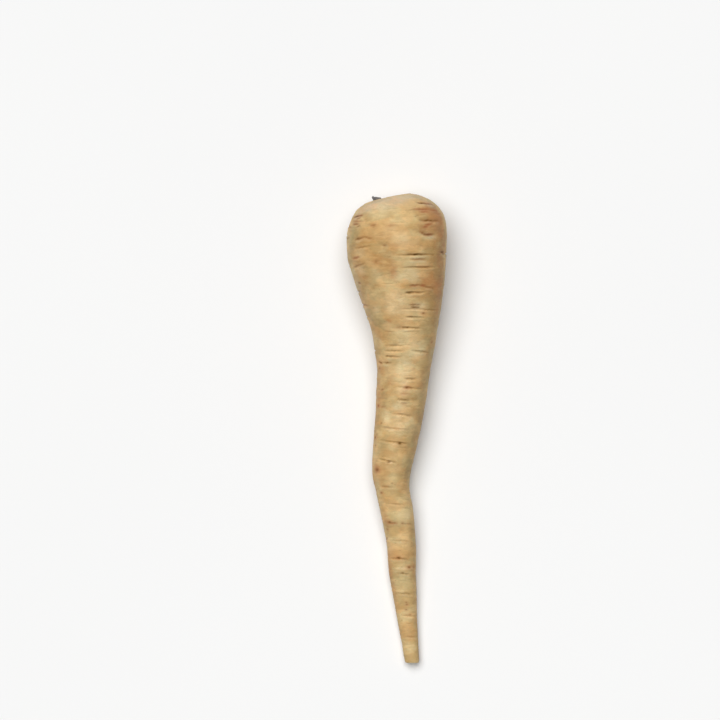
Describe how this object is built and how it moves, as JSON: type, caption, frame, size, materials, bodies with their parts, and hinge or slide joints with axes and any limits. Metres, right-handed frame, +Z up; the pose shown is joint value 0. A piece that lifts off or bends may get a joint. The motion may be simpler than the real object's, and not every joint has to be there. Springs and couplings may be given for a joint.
{
  "type": "parsnip",
  "caption": "Washed parsnip root lying on its side, with a broad leaning crown, trimmed leaf-stalk bases in its hollow, a crooked tapering body and a trimmed tip.",
  "frame": {"origin": "middle of the underside of the root's bounding box, on the surface that it lies on", "axes": "+Y along the root towards its crown, +Z up from the surface, +X to the right as seen from above with the crown at the top"},
  "size_m": [0.0554, 0.2586, 0.054],
  "materials": {
    "parsnip_skin": "cream to tan washed root skin, matt with a faint sheen, crossed by fine brown creases",
    "stalk_skin": "dull grey-brown dried leaf-stalk bases, fibrous on their cut ends"
  },
  "bodies": {
    "root": {"parsnip_root": "parsnip_skin", "leaf_stalk_bases": "stalk_skin"}
  },
  "joints": []
}
